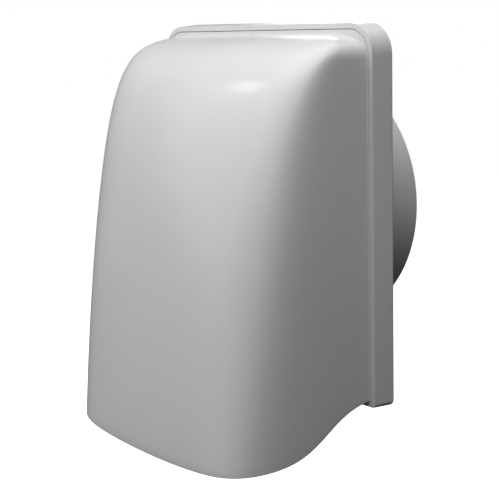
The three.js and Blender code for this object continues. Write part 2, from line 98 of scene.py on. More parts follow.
_, SPIGOT_HIGH = node_box("duct_spigot")
DUCT_RADIUS, DUCT_WALL, DUCT_Z = 74.5, 2.2, 0.6
DUCT_REACH = SPIGOT_HIGH.y
TUBE_BLANK = -34  # where the tube's blank ends, before the seat's plane cuts it
FLANGE = {"radius": SPIGOT_HIGH.x, "rear": -7.3, "front": -9.6}
COLLAR = 3
TILT = math.radians(4)
SEAT = {"top": -13, "lip": 7.5, "thickness": 2}
SEAT_Y = SEAT["top"] - DUCT_RADIUS * math.tan(TILT)
SEAL = {"outer": DUCT_RADIUS - 1, "width": 5, "thickness": 1.7, "shoulder": 0.8, "bead": 0.9}
GASKET = {"inset": 3.8, "width": 4.7, "round": 1.1}
GAP = 0.3

FLAP = {"radius": 75.5, "thickness": 1.8, "tail": 8, "rise": 82}
FLAP_RIM = {"height": 1.4, "width": 2, "inset": 0.5, "rib": 1, "lower": 0.05, "hub": 9}
KNUCKLE = {"x": 33, "half": 4, "radius": 3.6, "arm_bottom": 62}
EAR = {"x": 41, "half": 2, "bottom": 66.8, "eye": 4.6, "hole": 2.8, "ahead": 1, "above": 2}
BUSH = {"flange": 4, "width": 1.1, "sleeve": 2.5, "overhang": 0.3}
CLIP = {"radius": 3.4, "thickness": 0.9, "clearance": 0.4, "lobe": 0.45}
CLIP_TURN = {"start": -70, "whole": 320, "steps": 24}  # degrees, and the steps it is drawn in
ROD = {"radius": 1.5, "bore": 1.6}
BUMPER = {"x": 33, "z": 88.5, "radius": 3.5, "stem": 1.6}

SCREW = {"head": 2.9, "height": 2, "shank": 1.4, "cross": 1.5, "slot": 0.35, "brim": 0.15, "steps": 6}
THREAD = {"pitch": 0.8, "depth": 0.25, "first": 0.5, "rise": 0.3, "crest": 0.4, "plain": 2.2, "point": 1.6}
SCREW_CIRCLE = {"radius": 79.6, "turns": (45, 135, 225, 315), "boss": 3.8, "passage": 1.9}
PASSAGE_ENDS = (-6, -11)  # the screws' passages are cut from here to here, through the flange
SCREW_LENGTH = {"spigot": 8, "guard": 11}
PILOT = 1.75

COWL_WALL = 2.2
GROOVE = 0.35  # the fine gap between the frame's wall and the cowl
TOP_BAND, SIDE_BAND = 1.85, 1.05  # the flat band of the web that shows above and beside the body
SKIRT_END = -7.4
SKIRT_FOOT = 1  # how far the skirt reaches inwards where the web joins it
WEB_LAP = 0.6  # how far the web's edge stays inside the skirt's outer face
COWL_INSET = FRAME_WALL + GROOVE
COWL_TOP = FRAME_TOP - COWL_INSET - TOP_BAND
COWL_HALF = FRAME_HALF - COWL_INSET - SIDE_BAND
COWL_DROP, LIP_DEPTH = 224.7, 88.8
COWL_LIP = COWL_TOP - COWL_DROP
RIM_ENDS = 3.35 - FRAME_TOP
ROOT_Y = FRAME_FRONT + 1

# The body's side profile, as depths and drops, is two cubic curves that meet at the shoulder. The
# slope is in radians, the pulls are how long the curves' handles are, and the lean is how far the
# handle at the lip leans outwards.
SHOULDER = np.array([55.2, 26.1])
SHOULDER_SLOPE = 0.574
CROWN_PULL = (18.2, 24.4)
FACE_PULL, FACE_LEAN = (25, 132.9), 7.8

# The body's plan is a superellipse. Its powers are given at the top, in the middle and at the lip, and
# its root has two rounded top corners of its own.
FLARE = 0.5
ROOT_CORNER, ROOT_POWER = np.array([42.9, 15.8]), 3.2
SIDE_POWER = (1.5, 3, 7.3)
FACE_POWER = (8.8, 7, 4.7)

# The rim's sweep down to the lip, in shares of the lip's depth, and its sag in the middle.
SWEEP_MIDDLE, SWEEP_WIDTH, SAG = 0.352, 0.119, 6.7

CROWN_SHARE = 0.4  # how much of the way down is given to the crown
ROOT_CROWDING = 0.33  # how much the columns of points crowd together at the sides
OPENING_STOP = 4  # how far above the rim's ends the sides of the web's opening stop
OPENING_POINTS = 60

# Where the searches for a point of the surface begin and end, and how often they halve.
LEAST_REACH = 0.8
PAST_LIP = 1.3
HALVINGS = 30

GUARD = {"top": -94, "thickness": 2.6, "border": 6, "slot": 7, "bar": 2.6, "inset": 0.7, "spine": -60.5}
GUARD_SLOT = {"round": 1.2, "narrowest": 2.5, "shortest": 2}
GUARD_SCREW = {"x": 81.7, "y": -52, "boss": 4.8, "top": -80, "roof": 2}

# ---------- Mesh building ----------

SAME_POINT = 1e-4  # points closer than this are one
SAME_LEVEL = 1e-5  # and so are levels closer than this
CORNER_ROOM = 0.45  # how much of a side one rounded corner may use
LEAST_ROUND = 0.02
LEAST_MITRE = 0.3
FINE_ROUND = 144  # sides of the large round pieces
CREASE = 35  # degrees


def mesh_of(points, faces):
    """A closed mesh with its doubled points merged and its faces pointing out."""
    mesh = bpy.data.meshes.new("form")
    mesh.from_pydata([tuple(map(float, p)) for p in points], [], faces)
    form = bmesh.new()
    form.from_mesh(mesh)
    bmesh.ops.remove_doubles(form, verts=form.verts, dist=SAME_POINT)
    axis = [edge for edge in form.edges if not edge.link_faces]
    bmesh.ops.delete(form, geom=axis, context="EDGES")
    bmesh.ops.recalc_face_normals(form, faces=form.faces)
    form.to_mesh(mesh)
    form.free()
    return mesh


def softened(points, radius, steps=3):
    """A closed outline with each corner rounded; radius is one number or one for each corner."""
    points = [np.array(p, float) for p in points]
    count = len(points)
    radii = [radius] * count if np.isscalar(radius) else radius
    made = []
    for i, corner in enumerate(points):
        before, after = points[i - 1] - corner, points[(i + 1) % count] - corner
        room = CORNER_ROOM * min(np.linalg.norm(before), np.linalg.norm(after))
        size = min(radii[i], room)
        if size < LEAST_ROUND:
            made.append(corner)
            continue
        start = corner + before / np.linalg.norm(before) * size
        end = corner + after / np.linalg.norm(after) * size
        for k in range(steps + 1):
            t = k / steps
            made.append(start * (1 - t) ** 2 + corner * 2 * t * (1 - t) + end * t**2)
    return np.array(made)


def offset(loop, distance):
    """A closed outline moved inwards, or outwards where the distance is negative."""
    loop = np.asarray(loop, float)
    ahead = np.roll(loop, -1, axis=0) - loop
    ahead /= np.linalg.norm(ahead, axis=1, keepdims=True)
    normal = np.stack([-ahead[:, 1], ahead[:, 0]], axis=1)
    mean = normal + np.roll(normal, 1, axis=0)
    mean /= np.maximum((mean * normal).sum(axis=1, keepdims=True), LEAST_MITRE)
    area = 0.5 * np.sum(loop[:, 0] * np.roll(loop[:, 1], -1) - np.roll(loop[:, 0], -1) * loop[:, 1])
    return loop + mean * distance * math.copysign(1, area)


def slab(loops, rear, front, edge=0.3, steps=2):
    """A flat piece from y = rear out to y = front. The first outline of (x, z) is its outside and the
    others are its holes, and all its edges are rounded."""
    turns = [math.pi / 2 * k / steps for k in range(steps + 1)]
    levels = [(edge * (1 - math.sin(t)), rear - edge * (1 - math.cos(t))) for t in turns]
    levels += [(edge * (1 - math.cos(t)), front + edge * (1 - math.sin(t))) for t in turns]
    form = bmesh.new()
    for number, outline in enumerate(loops):
        inwards = 1 if number == 0 else -1
        rings = []
        for inset, y in levels:
            ring = [form.verts.new((x, y, z)) for x, z in offset(outline, inset * inwards)]
            rings.append(ring)
        for low, high in zip(rings, rings[1:]):
            for i in range(len(low)):
                j = (i + 1) % len(low)
                form.faces.new((low[i], low[j], high[j], high[i]))
    form.edges.ensure_lookup_table()
    for y in (rear, front):
        rim = [e for e in form.edges if e.is_boundary and abs(e.verts[0].co.y - y) < SAME_LEVEL]
        bmesh.ops.triangle_fill(form, edges=rim, use_beauty=True)
    bmesh.ops.recalc_face_normals(form, faces=form.faces)
    mesh = bpy.data.meshes.new("form")
    form.to_mesh(mesh)
    form.free()
    return mesh


def circle(x, z, radius, sides=48):
    """A round outline of (x, z), counter-clockwise."""
    turns = np.arange(sides) * 2 * math.pi / sides
    return np.stack([x + radius * np.cos(turns), z + radius * np.sin(turns)], axis=1)


def lathe(profile, sides=48, centre=(0, 0)):
    """A closed profile of (radius, y) turned about the line along Y through centre = (x, z)."""
    turns = np.arange(sides) * 2 * math.pi / sides
    points, faces = [], []
    rows = len(profile)
    for turn in turns:
        for radius, y in profile:
            points.append((centre[0] + radius * math.cos(turn), y, centre[1] + radius * math.sin(turn)))
    for i in range(sides):
        for j in range(rows):
            a, b = i * rows, ((i + 1) % sides) * rows
            k = (j + 1) % rows
            faces.append((a + j, b + j, b + k, a + k))
    return mesh_of(points, faces)


def swept(section):
    """A closed section of (inset, y) carried round the frame's outline."""
    rings = [[(x, y, z) for x, z in frame_outline(inset)] for inset, y in section]
    size = len(rings[0])
    points = [point for ring in rings for point in ring]
    faces = []
    for i in range(len(rings)):
        a, b = i * size, ((i + 1) % len(rings)) * size
        for j in range(size):
            k = (j + 1) % size
            faces.append((a + j, a + k, b + k, b + j))
    return mesh_of(points, faces)


def moved(mesh, matrix):
    """The mesh itself, carried by a matrix."""
    mesh.transform(matrix)
    return mesh


def along_x(mesh, start, y, z):
    """Turns a piece made about the Y axis so that it lies along X, with its y = 0 at x = start."""
    turn = Matrix.Rotation(-math.pi / 2, 4, "Z")
    return moved(mesh, Matrix.Translation((start, y, z)) @ turn)


def on_seat(mesh):
    """Leans a piece made about the Y axis with the seat: y = 0 becomes the seat's plane."""
    return moved(mesh, Matrix.Translation((0, SEAT_Y, DUCT_Z)) @ Matrix.Rotation(-TILT, 4, "X"))


def combined(first, others, operation):
    """One closed mesh joined with, or cut by, several others."""
    scene = bpy.context.collection
    for other in others:
        body = bpy.data.objects.new("first", first)
        tool = bpy.data.objects.new("other", other)
        scene.objects.link(body)
        scene.objects.link(tool)
        step = body.modifiers.new("step", "BOOLEAN")
        step.operation, step.solver, step.object = operation, "MANIFOLD", tool
        graph = bpy.context.evaluated_depsgraph_get()
        first = bpy.data.meshes.new_from_object(body.evaluated_get(graph), depsgraph=graph)
        bpy.data.objects.remove(body)
        bpy.data.objects.remove(tool)
    return first


def joined(first, *others):
    """One closed mesh of several that overlap."""
    return combined(first, others, "UNION")


def cut(first, *others):
    """A closed mesh without the room that the others take."""
    return combined(first, others, "DIFFERENCE")


def piece(name, mesh, body, material, nodes):
    """A finished piece in metres: smooth, with sharp corners kept, riding on its body."""
    mesh.transform(Matrix.Scale(MM, 4))
    mesh.name = name
    mesh.materials.clear()
    mesh.materials.append(material)
    for face in mesh.polygons:
        face.use_smooth = True
    mesh.set_sharp_from_angle(angle=math.radians(CREASE))
    made = bpy.data.objects.new(name, mesh)
    bpy.context.collection.objects.link(made)
    weighted = made.modifiers.new("even normals", "WEIGHTED_NORMAL")
    weighted.keep_sharp = True
    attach(made, body)
    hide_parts(*nodes)
    return made


# ---------- Outlines ----------


def frame_outline(inset):
    """The frame's outline: round top corners and nearly square bottom ones, counter-clockwise."""
    right, top = FRAME_HALF - inset, FRAME_TOP - inset
    corners = [(1, -1, BOTTOM_CORNER, BOTTOM_STEPS), (1, 1, TOP_CORNER, TOP_STEPS)]
    corners += [(-1, 1, TOP_CORNER, TOP_STEPS), (-1, -1, BOTTOM_CORNER, BOTTOM_STEPS)]
    points = []
    for quarter, (side, up, size, steps) in enumerate(corners):
        radius = max(size - inset, LEAST_CORNER)
        for i in range(steps + 1):
            turn = math.pi / 2 * (quarter - 1 + i / steps)
            across, rise = radius * math.cos(turn), radius * math.sin(turn)
            points.append((side * (right - radius) + across, up * (top - radius) + rise))
    return points


def screw_places():
    """The spigot's screws, as points of (x, z) on the circle round the duct."""
    for degrees in SCREW_CIRCLE["turns"]:
        turn = math.radians(degrees)
        yield SCREW_CIRCLE["radius"] * math.cos(turn), DUCT_Z + SCREW_CIRCLE["radius"] * math.sin(turn)


def fixing_places():
    """The four holes for the installer's screws, as points of (x, z)."""
    return [(side * FIXING["x"], up * FIXING["z"]) for side in (-1, 1) for up in (-1, 1)]


# ---------- The cowl's surface ----------


def bezier(points, t):
    """Points of a cubic curve, for t from 0 to 1."""
    t = np.asarray(t)[..., None]
    a, b, c, d = (np.array(p, float) for p in points)
    return a * (1 - t) ** 3 + 3 * b * t * (1 - t) ** 2 + 3 * c * t**2 * (1 - t) + d * t**3


def profile_at(down):
    """Depth and drop of the side profile: a short crown, then the long face down to the lip."""
    slope = np.array([math.sin(SHOULDER_SLOPE), math.cos(SHOULDER_SLOPE)])
    crown = [(0, 0), (CROWN_PULL[0], 0), SHOULDER - slope * CROWN_PULL[1], SHOULDER]
    face = [SHOULDER, SHOULDER + slope * FACE_PULL[0]]
    face += [(LIP_DEPTH - FACE_LEAN, COWL_DROP - FACE_PULL[1]), (LIP_DEPTH, COWL_DROP)]
    upper = bezier(crown, np.clip(down / CROWN_SHARE, 0, 1))
    lower = bezier(face, np.clip((down - CROWN_SHARE) / (1 - CROWN_SHARE), 0, 1))
    made = np.where((down < CROWN_SHARE)[..., None], upper, lower)
    beyond = np.stack([np.full_like(down, LIP_DEPTH), COWL_DROP * down], axis=-1)
    return np.where((down > 1)[..., None], beyond, made)


def blended(values, share):
    """A value that runs from the top's through the middle's to the lip's, as a parabola."""
    top, middle, lip = values
    upper = top * (1 - share) * (1 - 2 * share)
    central = 4 * middle * share * (1 - share)
    return upper + central + lip * share * (2 * share - 1)


def reach_at(angle, across_power, out_power):
    """How far a superellipse of half sizes 1 reaches at an angle from its side."""
    across, out = np.abs(np.cos(angle)), np.abs(np.sin(angle))
    low, high = np.full(np.shape(angle), LEAST_REACH), np.full(np.shape(angle), math.sqrt(2))
    for _ in range(HALVINGS):
        middle = (low + high) / 2
        inside = (middle * across) ** across_power + (middle * out) ** out_power < 1
        low, high = np.where(inside, middle, low), np.where(inside, high, middle)
    return low


def cowl_points(round_, down, inset):
    """Points of the body, with round_ from 0 at the left root to 1 at the right one."""
    round_, down = np.broadcast_arrays(np.asarray(round_, float), np.asarray(down, float))
    profile = profile_at(down)
    share = np.clip(profile[..., 1] / COWL_DROP, 0, 1)
    depth = np.maximum(profile[..., 0] - inset, 0)
    corner = ROOT_CORNER - inset
    above = np.maximum(corner[1] - profile[..., 1], 0) / corner[1]
    taper = corner[0] * (1 - np.maximum(1 - above**ROOT_POWER, 0) ** (1 / ROOT_POWER))
    half = COWL_HALF - inset + FLARE * share - taper
    even = math.pi * (1 - round_)
    angle = even - ROOT_CROWDING * share * np.sin(2 * even)
    reach = reach_at(angle, blended(SIDE_POWER, share), blended(FACE_POWER, share))
    x = half * reach * np.cos(angle)
    y = FRAME_FRONT - depth * reach * np.abs(np.sin(angle))
    z = COWL_TOP - inset - profile[..., 1]
    return np.stack([x, y, z], axis=-1)


def rim_height(x, y):
    """The rim sweeps down from the frame's bottom to the lip, and sags a little in the middle."""

    def curve(reach):
        return 1 / (1 + np.exp((SWEEP_MIDDLE - reach) / SWEEP_WIDTH))

    reach = (FRAME_FRONT - y) / LIP_DEPTH
    sweep = (curve(reach) - curve(0)) / (curve(1) - curve(0))
    sag = SAG * (1 - (x / COWL_HALF) ** 2)
    return RIM_ENDS + (COWL_LIP - RIM_ENDS - sag) * sweep


def downs_to(round_, inset, height):
    """For each column, how far down the body reaches a height given as a function of x and y."""
    low, high = np.full(len(round_), CROWN_SHARE), np.full(len(round_), PAST_LIP)
    for _ in range(HALVINGS):
        middle = (low + high) / 2
        points = cowl_points(round_, middle, inset)
        above = points[:, 2] > height(points[:, 0], points[:, 1])
        low, high = np.where(above, middle, low), np.where(above, high, middle)
    return low


# ---------- Pieces of the cowl ----------

BODY_COLUMNS, BODY_ROWS = 120, 96
RIM_EDGE = [(0, 0.7), (0.2, 0.2), (0.7, 0), (1.5, 0), (2.0, 0.2), (2.2, 0.7)]  # inset and rise


def cowl_body():
    """The body's outer and inner skin as one closed shell, with a rounded rim between them."""
    round_ = np.linspace(0, 1, BODY_COLUMNS + 1)
    share = np.linspace(0, 1, BODY_ROWS + 1)
    outer_end = downs_to(round_, 0, lambda x, y: rim_height(x, y) + RIM_EDGE[0][1])
    inner_end = downs_to(round_, COWL_WALL, lambda x, y: rim_height(x, y) + RIM_EDGE[-1][1])
    rows = [cowl_points(round_, outer_end * s, 0) for s in share]
    for inset, rise in RIM_EDGE[1:-1]:
        end = downs_to(round_, inset, lambda x, y, rise=rise: rim_height(x, y) + rise)
        rows.append(cowl_points(round_, end, inset))
    rows += [cowl_points(round_, inner_end * s, COWL_WALL) for s in share[::-1]]
    grid = np.array(rows)
    left, right = grid[:, :1].copy(), grid[:, -1:].copy()
    left[..., 1] = right[..., 1] = ROOT_Y
    grid = np.concatenate([left, grid, right], axis=1)
    first, last = grid[:1].copy(), grid[-1:].copy()
    first[..., 1] = last[..., 1] = ROOT_Y
    grid = np.concatenate([first, grid, last], axis=0)
    height, width = grid.shape[:2]
    faces = []
    for i in range(height - 1):
        for j in range(width - 1):
            a, b = i * width + j, (i + 1) * width + j
            faces.append((a, a + 1, b + 1, b))
    rim = height // 2 - len(RIM_EDGE) // 2
    for j in (0, width - 1):
        column = [i * width + j for i in range(height)]
        for i in range(rim):
            faces.append((column[i], column[i + 1], column[-i - 2], column[-i - 1]))
        faces.append(tuple(column[rim : height - rim]))
    for j in range(width - 1):
        a, b = j, (height - 1) * width + j
        faces.append((a, a + 1, b + 1, b))
    return mesh_of(grid.reshape(-1, 3), faces)


def root_opening():
    """The outline that the body's inner face leaves open in the flat web behind it."""
    down = np.linspace(0, 0.95, OPENING_POINTS)
    root = cowl_points(np.ones(OPENING_POINTS), down, COWL_WALL)
    root = root[root[:, 2] > RIM_ENDS + OPENING_STOP]
    side = [(x, z) for x, _, z in root]
    side.append((side[-1][0], RIM_ENDS + COWL_WALL))
    return [(-x, z) for x, z in side[::-1]] + side


def screw_boss(x, y, low, high, radius, hole, hole_top):
    """An upright round boss with a blind hole from below."""
    profile = softened([(0, 0), (radius, 0), (radius, high - low), (0, high - low)], [0, 0.4, 0.4, 0])
    boss = lathe(profile, 40)
    bore = lathe([(0, -2), (hole, -2), (hole, hole_top - low), (0, hole_top - low)], 24)
    upright = Matrix.Translation((x, y, low)) @ Matrix.Rotation(math.pi / 2, 4, "X")
    return moved(boss, upright), moved(bore, upright)


def make_hood(material):
    """The body, the flat web behind it, the skirt that goes into the frame, and two screw bosses."""
    skirt_inner = COWL_INSET + COWL_WALL
    foot = skirt_inner + SKIRT_FOOT
    back = FRAME_FRONT + COWL_WALL
    section = [(COWL_INSET, FRAME_FRONT), (COWL_INSET, SKIRT_END), (skirt_inner, SKIRT_END)]
    section += [(skirt_inner, back), (foot, back), (foot, FRAME_FRONT)]
    skirt = swept(softened(section, [LAND_EDGE, 0.4, 0.4, 0, 0, 0]))
    web = slab([frame_outline(COWL_INSET + WEB_LAP), root_opening()], back, FRAME_FRONT, LEAST_ROUND, 1)
    hood = joined(web, skirt, cowl_body())
    low, high = GUARD["top"] + GAP, GUARD_SCREW["top"]
    for side in (-1, 1):
        place = (side * GUARD_SCREW["x"], GUARD_SCREW["y"])
        boss, bore = screw_boss(*place, low, high, GUARD_SCREW["boss"], PILOT, high - GUARD_SCREW["roof"])
        hood = cut(joined(hood, boss), bore)
    return piece("cowl_shell", hood, "cowl", material, ["hood"])


def level_outline(margin):
    """The cowl's inner outline at the guard's height, moved in by a margin, as points of (x, y)."""
    inset = COWL_WALL + margin
    round_ = np.linspace(0, 1, BODY_COLUMNS + 1)
    down = downs_to(round_, inset, lambda x, y: np.full_like(x, GUARD["top"]))
    points = cowl_points(round_, down, inset)[:, :2]
    wall_side = FRAME_FRONT - margin - GAP
    kept = points[points[:, 1] < wall_side]
    ends = [(kept[0][0], wall_side), (kept[-1][0], wall_side)]
    return np.array([ends[0], *kept, ends[1]])


def guard_slots():
    """The grille's slots, as outlines of (x, y), behind its spine and in front of it."""
    field = level_outline(GUARD["inset"] + GUARD["border"])
    front = field[1:-1]
    wall_side = field[0][1]
    pitch = GUARD["slot"] + GUARD["bar"]
    count = int(COWL_HALF // pitch)
    for i in range(-count, count + 1):
        left, right = i * pitch - GUARD["slot"] / 2, i * pitch + GUARD["slot"] / 2
        right = min(right, front[:, 0].max())
        left = max(left, front[:, 0].min())
        if right - left < GUARD_SLOT["narrowest"]:
            continue
        ends = np.interp([left, right], front[:, 0], front[:, 1])
        near, far = GUARD["spine"] + GUARD["bar"] / 2, GUARD["spine"] - GUARD["bar"] / 2
        behind = [(left, near), (right, near), (right, wall_side), (left, wall_side)]
        yield softened(behind, GUARD_SLOT["round"])
        if ends.max() < far - GUARD_SLOT["shortest"]:
            ahead = [(left, ends[0]), (right, ends[1]), (right, far), (left, far)]
            yield softened(ahead, GUARD_SLOT["round"])


def make_guard(material):
    """The flat grille, drawn as a slab in (x, y) and laid level."""
    holes = [circle(side * GUARD_SCREW["x"], GUARD_SCREW["y"], PILOT, 24) for side in (-1, 1)]
    loops = [level_outline(GUARD["inset"]), *guard_slots(), *holes]
    grille = slab(loops, 0, -GUARD["thickness"], 0.4)
    lay = Matrix(((1, 0, 0, 0), (0, 0, 1, 0), (0, 1, 0, GUARD["top"]), (0, 0, 0, 1)))
    grille = moved(grille, lay)
    grille.flip_normals()
    return piece("guard_grille", grille, "cowl", material, ["bird_guard"])


# ---------- Pieces of the base ----------


def make_frame(material):
    """The tray with its plate, the collar round the duct's hole, and the bosses behind the plate."""
    turns = [math.pi / 2 * k / REAR_STEPS for k in range(REAR_STEPS + 1)]
    rounding = [(REAR_ROUND * (1 - math.cos(t)) - DRAFT, REAR_ROUND * (math.sin(t) - 1)) for t in turns]
    section = [(0, FRAME_FRONT), *rounding, (RECESS_INSET, 0), (RECESS_INSET, PLATE_REAR)]
    section += [(RECESS_INSET + LEDGE, PLATE_REAR), (RECESS_INSET + LEDGE, PLATE_FRONT)]
    section += [(FRAME_WALL, PLATE_FRONT), (FRAME_WALL, FRAME_FRONT)]
    radii = [LAND_EDGE, *[0] * len(rounding), 0.4, 0, 0, 0, 0, LAND_EDGE]
    tray = swept(softened(section, radii, 5))
    inner, outer = DUCT_RADIUS + GAP, DUCT_RADIUS + COLLAR
    holes = [circle(0, DUCT_Z, inner, 128)]
    for x, z in fixing_places():
        holes.append(circle(x, z, FIXING["hole"], 32))
    for x, z in screw_places():
        holes.append(circle(x, z, PILOT, 24))
    for side in (-1, 1):
        holes.append(circle(side * BUMPER["x"], BUMPER["z"], BUMPER["stem"] + GAP, 24))
    plate = slab([frame_outline(RECESS_INSET + LEDGE / 2), *holes], PLATE_REAR, PLATE_FRONT, 0.25)
    inside = PLATE_REAR - SINK
    collar = [(inner, BOSS_REAR), (outer, BOSS_REAR), (outer, inside), (inner, inside)]
    parts = [lathe(softened(collar, [0.4, 0.6, 0, 0]), 128, (0, DUCT_Z))]
    hole, size = FIXING["hole"], FIXING["boss"]
    for x, z in fixing_places():
        boss = [(hole, 0), (size, 0), (size, inside), (hole, inside)]
        parts.append(lathe(softened(boss, [0.2, 0.4, 0, 0]), 48, (x, z)))
    size = SCREW_CIRCLE["boss"]
    for x, z in screw_places():
        boss = [(PILOT, BOSS_REAR), (size, BOSS_REAR), (size, inside), (PILOT, inside)]
        parts.append(lathe(softened(boss, [0.2, 0.4, 0, 0]), 36, (x, z)))
    shell = joined(tray, plate, *parts)
    return piece("frame_shell", shell, "base", material, ["wall_frame"])


def make_gasket(material):
    """The foam ring in the tray's recess."""
    near, far = GASKET["inset"], GASKET["inset"] + GASKET["width"]
    front = PLATE_REAR + GAP
    foam = swept(softened([(near, 0), (far, 0), (far, front), (near, front)], GASKET["round"], 4))
    return piece("gasket_foam_ring", foam, "base", material, ["wall_gasket"])


def hinge_axis():
    """The rod's middle, as y and z in millimetres, from the record's hinge."""
    for joint in RECORD["behaviour"]["joints"]:
        if joint["name"] == "flap_hinge":
            return joint["pos_m"][1] / MM, joint["pos_m"][2] / MM
    raise ValueError("the record has no flap_hinge")


def bar_x(start, end, radius, y, z, edge, sides=40):
    """A round bar along X with softened ends."""
    length = end - start
    profile = [(0, 0), (radius, 0), (radius, length), (0, length)]
    return along_x(lathe(softened(profile, [0, edge, edge, 0]), sides), start, y, z)


def make_spigot(material):
    """The tube with its flange, the leaning seat at its front end, and the hinge's two ears."""
    near, far, rear, front = DUCT_RADIUS - 2 * SINK, FLANGE["radius"], FLANGE["rear"], FLANGE["front"]
    flange = [(near, rear), (far, rear), (far, front), (near, front)]
    flange = lathe(softened(flange, [0, 0.5, 0.5, 0]), FINE_ROUND, (0, DUCT_Z))
    inner = DUCT_RADIUS - DUCT_WALL
    tube = [(inner, DUCT_REACH), (DUCT_RADIUS, DUCT_REACH), (DUCT_RADIUS, TUBE_BLANK), (inner, TUBE_BLANK)]
    tube = lathe(softened(tube, [0.5, 0.9, 0, 0], 4), FINE_ROUND, (0, DUCT_Z))
    wide, long = 100, 60
    beyond = slab([[(-wide, -wide), (wide, -wide), (wide, wide), (-wide, wide)]], 0, -long, 0.01, 1)
    spigot = cut(joined(tube, flange), on_seat(beyond))
    near, far = DUCT_RADIUS - SEAT["lip"], inner + DEEP_SINK
    below, thickness = 0.02, SEAT["thickness"]
    lip = [(near, below), (far, below), (far, thickness), (near, thickness)]
    spigot = joined(spigot, on_seat(lathe(softened(lip, [0.4, 0, 0, 0.4]), FINE_ROUND)))
    y, z = hinge_axis()
    for side in (-1, 1):
        near, far = side * EAR["x"] - EAR["half"], side * EAR["x"] + EAR["half"]
        root, ahead = FLANGE["front"] + SINK, y - EAR["ahead"]
        low, high = EAR["bottom"], z + EAR["above"]
        outline = [(ahead, low), (root, low), (root, high), (ahead, high)]
        ear = slab([softened([(-a, b) for a, b in outline], 0.3)], 0, -2 * EAR["half"], 0.3)
        across = Matrix(((0, -1, 0, near), (-1, 0, 0, 0), (0, 0, 1, 0), (0, 0, 0, 1)))
        ear = moved(ear, across)
        eye = bar_x(near, far, EAR["eye"], y, z, 0.4)
        spigot = cut(joined(spigot, ear, eye), bar_x(near - 1, far + 1, EAR["hole"], y, z, 0))
    size, (rear, front) = SCREW_CIRCLE["passage"], PASSAGE_ENDS
    for x, z in screw_places():
        hole = [(0, rear), (size, rear), (size, front), (0, front)]
        spigot = cut(spigot, lathe(hole, 24, (x, z)))
    return piece("spigot_shell", spigot, "base", material, ["duct_spigot"])


def make_seal(material):
    """The soft ring on the seat, with a bead along its middle."""
    outer, inner = SEAL["outer"], SEAL["outer"] - SEAL["width"]
    back, front = -GAP, -GAP - SEAL["thickness"]
    middle, bead = (outer + inner) / 2, SEAL["bead"]
    shoulder, foot = front + SEAL["shoulder"], front + 0.6
    section = [(inner, back), (outer, back), (outer, shoulder), (middle + bead, foot)]
    section += [(middle, front), (middle - bead, foot), (inner, shoulder)]
    ring = on_seat(lathe(softened(section, 0.5, 4), FINE_ROUND))
    return piece("seal_ring", ring, "base", material, ["flap_seal"])


def make_bushes(material):
    """A flanged bush in each ear, round the rod."""
    y, z = hinge_axis()
    inside = EAR["x"] - EAR["half"] - GAP - BUSH["width"]
    outside = EAR["x"] + EAR["half"] + BUSH["overhang"]
    length, step = outside - inside, BUSH["width"]
    for name, side in (("left", -1), ("right", 1)):
        profile = [(ROD["bore"], 0), (BUSH["flange"], 0), (BUSH["flange"], step)]
        profile += [(BUSH["sleeve"], step), (BUSH["sleeve"], length), (ROD["bore"], length)]
        profile = softened(profile, [0.15, 0.25, 0.25, 0, 0.3, 0.15])
        bush = along_x(lathe(profile, 40), inside, y, z)
        if side < 0:
            bush = moved(bush, Matrix.Scale(-1, 4, (1, 0, 0)))
            bush.flip_normals()
        piece(f"bush_{name}_fine", bush, "base", material, [f"bush_{name}"])


def make_bumpers(material):
    """A domed button in front of the plate for each of the flap's tails, with its stem in the plate."""
    for name, side in (("left", -1), ("right", 1)):
        low, _ = node_box(f"bumper_{name}")
        front, head_rear, stem_rear = low.y, PLATE_FRONT - GAP, PLATE_REAR + GAP
        profile = [(0, stem_rear), (BUMPER["stem"], stem_rear), (BUMPER["stem"], head_rear)]
        profile += [(BUMPER["radius"], head_rear), (BUMPER["radius"], front), (0, front)]
        radii = [0, 0.4, 0, 0.5, 1.6, 0]
        button = lathe(softened(profile, radii, 5), 40, (side * BUMPER["x"], BUMPER["z"]))
        piece(f"bumper_{name}_fine", button, "base", material, [f"bumper_{name}"])


def screw_mesh(length):
    """A pan-head screw with a cross recess and a turned thread. Its head's underside is at y = 0."""
    head, height, shank = SCREW["head"], SCREW["height"], SCREW["shank"]
    profile = [(0, -height)]
    for k in range(1, SCREW["steps"] + 1):
        turn = math.pi / 2 * k / SCREW["steps"]
        profile.append((head * math.sin(turn) ** 0.8, -height * (0.35 + 0.65 * math.cos(turn))))
    profile += [(head, -SCREW["brim"]), (head - SCREW["brim"], 0), (shank, 0)]
    pitch, root = THREAD["pitch"], shank - THREAD["depth"]
    rise, crest = THREAD["rise"], THREAD["crest"]
    threads = int((length - THREAD["plain"]) / pitch)
    for k in range(threads):
        start = THREAD["first"] + pitch * k
        profile += [(root, start), (shank, start + rise), (shank, start + crest)]
    profile += [(root, length - THREAD["point"]), (shank * 0.3, length), (0, length)]
    body = lathe(profile, 36)
    long, narrow, floor = SCREW["cross"], SCREW["slot"], -height * 0.4
    shapes = [[(-long, -narrow), (long, -narrow), (long, narrow), (-long, narrow)]]
    shapes.append([(x, z) for z, x in shapes[0]][::-1])
    slots = [slab([shape], floor, -height - 1, 0.02, 1) for shape in shapes]
    return cut(body, *slots)


